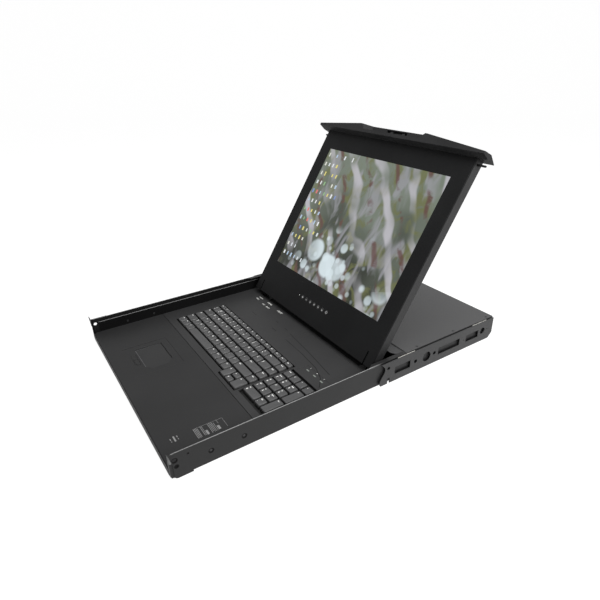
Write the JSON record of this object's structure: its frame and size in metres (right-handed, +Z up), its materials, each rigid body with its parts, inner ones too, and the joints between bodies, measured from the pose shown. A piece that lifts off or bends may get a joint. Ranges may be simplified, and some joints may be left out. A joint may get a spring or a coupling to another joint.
{
  "type": "rackmount lcd console drawer",
  "caption": "One-unit rack console drawer: folding flat screen, keyboard with number pad and pointer pad in a sliding sheet-steel tray on fixed rails.",
  "frame": {"origin": "middle of the bounding box at the level of the rails' underside", "axes": "+X to the user's right, +Y into the rack, +Z up"},
  "size_m": [0.47, 0.654, 0.3774],
  "materials": {
    "rail_paint": "fine black powder coat on sheet steel",
    "glide_nylon": "natural nylon",
    "chassis_paint": "fine textured black powder coat",
    "cover_paint": "fine textured black powder coat",
    "deck_paint": "fine textured black powder coat",
    "pad_plastic": "dark grey satin pad",
    "pad_button_plastic": "black moulded plastic",
    "guide_plastic": "black moulded plastic",
    "dome_rubber": "grey silicone dome sheet",
    "lamp_lens": "tinted clear plastic",
    "inlet_plastic": "black thermoplastic",
    "port_shell": "nickelled connector shells",
    "board_laminate": "green solder mask",
    "hinge_steel": "blackened steel",
    "rivet_steel": "painted with the chassis",
    "screw_steel": "black zinc",
    "bezel_plastic": "black moulded plastic, fine texture",
    "display_panel": "display face, lit in use",
    "panel_plastic": "charcoal moulded plastic",
    "latch_steel": "blackened steel slides",
    "key_plastic": "black key caps",
    "osd_plastic": "black rubberised buttons"
  },
  "bodies": {
    "rails": {"rail_left": "rail_paint", "rail_right": "rail_paint", "rail_glides": "glide_nylon"},
    "drawer": {"base_pan": "chassis_paint", "side_plate_left": "chassis_paint", "side_plate_right": "chassis_paint", "latch_bracket_left": "chassis_paint", "latch_bracket_right": "chassis_paint", "palm_rest": "deck_paint", "touchpad": "pad_plastic", "keyboard_deck": "deck_paint", "key_guide_plate": "guide_plastic", "dome_sheet": "dome_rubber", "indicator_lamps": "lamp_lens", "hinge_shroud": "cover_paint", "top_cover": "cover_paint", "rear_panel": "chassis_paint", "mains_inlet": "inlet_plastic", "console_ports": "port_shell", "video_board": "board_laminate", "power_supply": "board_laminate", "hinge_bracket_left": "hinge_steel", "hinge_bracket_right": "hinge_steel", "side_rivets": "rivet_steel", "cover_screws": "screw_steel"},
    "screen": {"screen_bezel": "bezel_plastic", "screen_back": "bezel_plastic", "display_module": "display_panel", "front_panel": "panel_plastic", "hinge_pins": "hinge_steel", "screen_arm_left": "hinge_steel", "screen_arm_right": "hinge_steel", "osd_board": "board_laminate"},
    "latch_left": {"latch_slide_left": "latch_steel"},
    "latch_right": {"latch_slide_right": "latch_steel"},
    "key_backspace": {"key_backspace": "key_plastic"},
    "key_enter": {"key_enter": "key_plastic"},
    "key_numpad_enter": {"key_numpad_enter": "key_plastic"},
    "key_numpad_plus": {"key_numpad_plus": "key_plastic"},
    "key_numpad_zero": {"key_numpad_zero": "key_plastic"},
    "key_space": {"key_space": "key_plastic"},
    "keys_arrows": {"keys_arrows": "key_plastic"},
    "keys_bottom_row": {"keys_bottom_row": "key_plastic"},
    "keys_function_row": {"keys_function_row": "key_plastic"},
    "keys_home_row": {"keys_home_row": "key_plastic"},
    "keys_lower_row": {"keys_lower_row": "key_plastic"},
    "keys_number_row": {"keys_number_row": "key_plastic"},
    "keys_numpad": {"keys_numpad": "key_plastic"},
    "keys_upper_row": {"keys_upper_row": "key_plastic"},
    "pad_button_left": {"pad_button_left": "pad_button_plastic"},
    "pad_button_right": {"pad_button_right": "pad_button_plastic"},
    "osd_button_1": {"osd_button_1": "osd_plastic"},
    "osd_button_2": {"osd_button_2": "osd_plastic"},
    "osd_button_3": {"osd_button_3": "osd_plastic"},
    "osd_button_4": {"osd_button_4": "osd_plastic"},
    "osd_button_5": {"osd_button_5": "osd_plastic"},
    "osd_button_6": {"osd_button_6": "osd_plastic"},
    "osd_button_7": {"osd_button_7": "osd_plastic"}
  },
  "joints": [
    {"name": "drawer_slide", "type": "slide", "parent": "rails", "child": "drawer", "axis": [0, 1, 0], "range_m": [0, 0.36]},
    {"name": "screen_hinge", "type": "hinge", "parent": "drawer", "child": "screen", "pos_m": [0, 0.04465, 0.03195], "axis": [1, 0, 0], "range_deg": [-12, 122.3]},
    {"name": "latch_slide_left_pull", "type": "slide", "parent": "screen", "child": "latch_left", "axis": [-1, 0, 0], "range_m": [-0.004, 0.0015], "stiffness_N_per_m": 300},
    {"name": "latch_slide_right_pull", "type": "slide", "parent": "screen", "child": "latch_right", "axis": [1, 0, 0], "range_m": [-0.004, 0.0015], "stiffness_N_per_m": 300},
    {"name": "key_backspace_travel", "type": "slide", "parent": "drawer", "child": "key_backspace", "axis": [0, 0, -1], "range_m": [0, 0.0022], "stiffness_N_per_m": 270, "springref_m": -0.0015},
    {"name": "key_enter_travel", "type": "slide", "parent": "drawer", "child": "key_enter", "axis": [0, 0, -1], "range_m": [0, 0.0022], "stiffness_N_per_m": 270, "springref_m": -0.0015},
    {"name": "key_numpad_enter_travel", "type": "slide", "parent": "drawer", "child": "key_numpad_enter", "axis": [0, 0, -1], "range_m": [0, 0.0022], "stiffness_N_per_m": 270, "springref_m": -0.0015},
    {"name": "key_numpad_plus_travel", "type": "slide", "parent": "drawer", "child": "key_numpad_plus", "axis": [0, 0, -1], "range_m": [0, 0.0022], "stiffness_N_per_m": 270, "springref_m": -0.0015},
    {"name": "key_numpad_zero_travel", "type": "slide", "parent": "drawer", "child": "key_numpad_zero", "axis": [0, 0, -1], "range_m": [0, 0.0022], "stiffness_N_per_m": 270, "springref_m": -0.0015},
    {"name": "key_space_travel", "type": "slide", "parent": "drawer", "child": "key_space", "axis": [0, 0, -1], "range_m": [0, 0.0022], "stiffness_N_per_m": 270, "springref_m": -0.0015},
    {"name": "keys_arrows_travel", "type": "slide", "parent": "drawer", "child": "keys_arrows", "axis": [0, 0, -1], "range_m": [0, 0.0022], "stiffness_N_per_m": 1080, "springref_m": -0.0015},
    {"name": "keys_bottom_row_travel", "type": "slide", "parent": "drawer", "child": "keys_bottom_row", "axis": [0, 0, -1], "range_m": [0, 0.0022], "stiffness_N_per_m": 1890, "springref_m": -0.0015},
    {"name": "keys_function_row_travel", "type": "slide", "parent": "drawer", "child": "keys_function_row", "axis": [0, 0, -1], "range_m": [0, 0.0022], "stiffness_N_per_m": 4050, "springref_m": -0.0015},
    {"name": "keys_home_row_travel", "type": "slide", "parent": "drawer", "child": "keys_home_row", "axis": [0, 0, -1], "range_m": [0, 0.0022], "stiffness_N_per_m": 3240, "springref_m": -0.0015},
    {"name": "keys_lower_row_travel", "type": "slide", "parent": "drawer", "child": "keys_lower_row", "axis": [0, 0, -1], "range_m": [0, 0.0022], "stiffness_N_per_m": 3510, "springref_m": -0.0015},
    {"name": "keys_number_row_travel", "type": "slide", "parent": "drawer", "child": "keys_number_row", "axis": [0, 0, -1], "range_m": [0, 0.0022], "stiffness_N_per_m": 3510, "springref_m": -0.0015},
    {"name": "keys_numpad_travel", "type": "slide", "parent": "drawer", "child": "keys_numpad", "axis": [0, 0, -1], "range_m": [0, 0.0022], "stiffness_N_per_m": 3780, "springref_m": -0.0015},
    {"name": "keys_upper_row_travel", "type": "slide", "parent": "drawer", "child": "keys_upper_row", "axis": [0, 0, -1], "range_m": [0, 0.0022], "stiffness_N_per_m": 3780, "springref_m": -0.0015},
    {"name": "pad_button_left_travel", "type": "slide", "parent": "drawer", "child": "pad_button_left", "axis": [0, 0, -1], "range_m": [0, 0.0008], "stiffness_N_per_m": 1200, "springref_m": -0.0006},
    {"name": "pad_button_right_travel", "type": "slide", "parent": "drawer", "child": "pad_button_right", "axis": [0, 0, -1], "range_m": [0, 0.0008], "stiffness_N_per_m": 1200, "springref_m": -0.0006},
    {"name": "osd_button_1_travel", "type": "slide", "parent": "screen", "child": "osd_button_1", "axis": [0, 0.8453, -0.5344], "range_m": [0, 0.0005], "stiffness_N_per_m": 1500, "springref_m": -0.0004},
    {"name": "osd_button_2_travel", "type": "slide", "parent": "screen", "child": "osd_button_2", "axis": [0, 0.8453, -0.5344], "range_m": [0, 0.0005], "stiffness_N_per_m": 1500, "springref_m": -0.0004},
    {"name": "osd_button_3_travel", "type": "slide", "parent": "screen", "child": "osd_button_3", "axis": [0, 0.8453, -0.5344], "range_m": [0, 0.0005], "stiffness_N_per_m": 1500, "springref_m": -0.0004},
    {"name": "osd_button_4_travel", "type": "slide", "parent": "screen", "child": "osd_button_4", "axis": [0, 0.8453, -0.5344], "range_m": [0, 0.0005], "stiffness_N_per_m": 1500, "springref_m": -0.0004},
    {"name": "osd_button_5_travel", "type": "slide", "parent": "screen", "child": "osd_button_5", "axis": [0, 0.8453, -0.5344], "range_m": [0, 0.0005], "stiffness_N_per_m": 1500, "springref_m": -0.0004},
    {"name": "osd_button_6_travel", "type": "slide", "parent": "screen", "child": "osd_button_6", "axis": [0, 0.8453, -0.5344], "range_m": [0, 0.0005], "stiffness_N_per_m": 1500, "springref_m": -0.0004},
    {"name": "osd_button_7_travel", "type": "slide", "parent": "screen", "child": "osd_button_7", "axis": [0, 0.8453, -0.5344], "range_m": [0, 0.0005], "stiffness_N_per_m": 1500, "springref_m": -0.0004}
  ]
}
